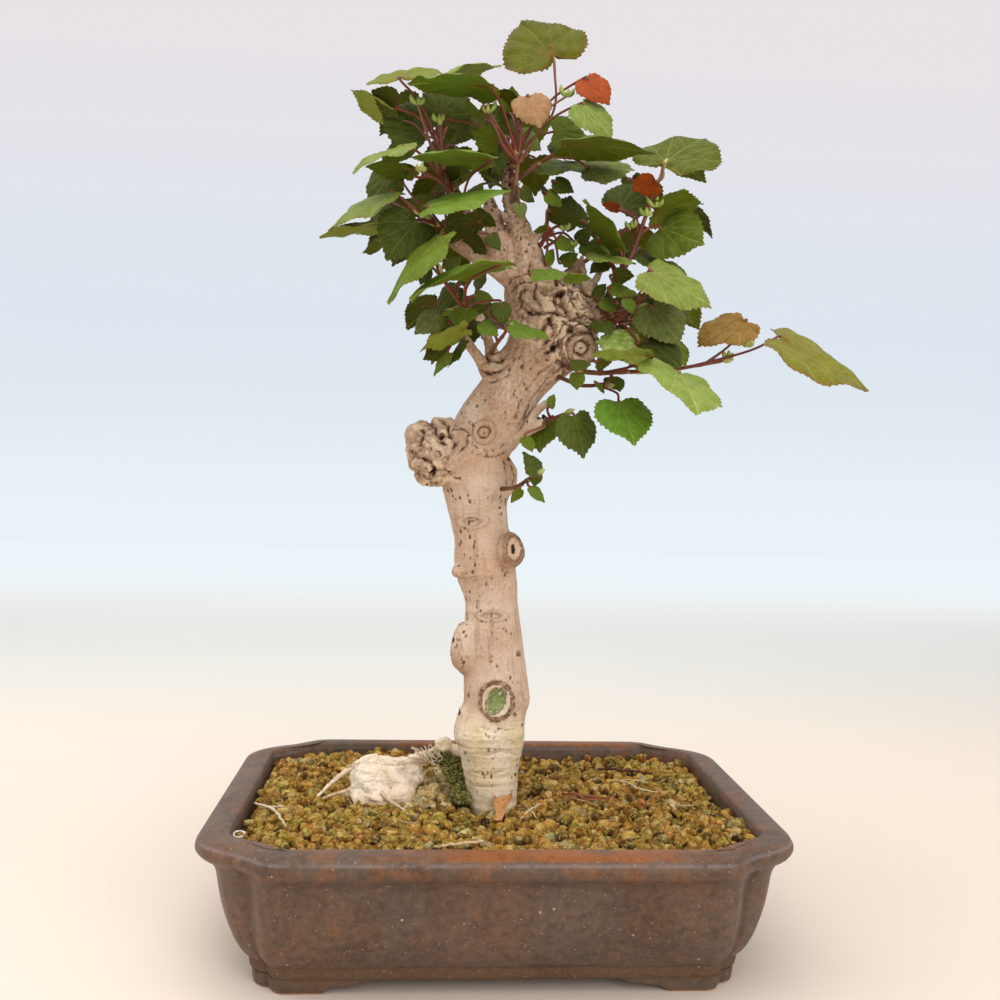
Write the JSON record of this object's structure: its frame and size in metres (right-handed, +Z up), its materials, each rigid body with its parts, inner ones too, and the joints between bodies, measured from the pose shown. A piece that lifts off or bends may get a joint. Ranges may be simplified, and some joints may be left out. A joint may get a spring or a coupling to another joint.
{
  "type": "potted bonsai tree",
  "caption": "Sea hibiscus bonsai with a pale knobbly trunk and toothed heart-shaped leaves, in granular soil in an oblong glazed pot with soft indented corners and bracket feet.",
  "frame": {"origin": "on the ground under the middle of the object's bounding box, which lies 28 mm to the right of the pot's middle because one leaf reaches out over the rim", "axes": "+Z up; +Y from the pictured front to the back; +X to the right as seen from the front, along the pot's long side"},
  "size_m": [0.4058, 0.27, 0.6005],
  "materials": {
    "glaze": "gloss brown glaze over tan clay",
    "screen_plastic": "matt black",
    "bark": "smooth pale bark with brown lenticels",
    "moss": "soft",
    "soil_granules": "dusty porous granules",
    "leaf": "satin leaf"
  },
  "bodies": {
    "root": {"pot": "glaze", "drain_screen_left": "screen_plastic", "drain_screen_right": "screen_plastic", "tree": "bark", "moss_cushion": "moss", "soil": "soil_granules", "leader_shoot": "leaf", "right_top_shoot": "leaf", "leader_side_shoot": "leaf", "right_mid_shoot": "leaf", "left_top_shoot": "leaf", "left_mid_shoot": "leaf", "left_low_shoot": "leaf", "left_stub_shoot": "leaf", "stub_base_shoot": "leaf", "burl_top_shoot": "leaf", "burl_low_shoot": "leaf", "right_hub_shoot": "leaf", "long_right_shoot": "leaf", "heart_shoot": "leaf", "low_right_shoot": "leaf", "trunk_twig": "leaf", "back_top_left": "leaf", "back_left": "leaf", "back_burl": "leaf", "back_right": "leaf", "back_low_left": "leaf", "back_leader": "leaf", "back_right_top": "leaf"}
  },
  "joints": []
}
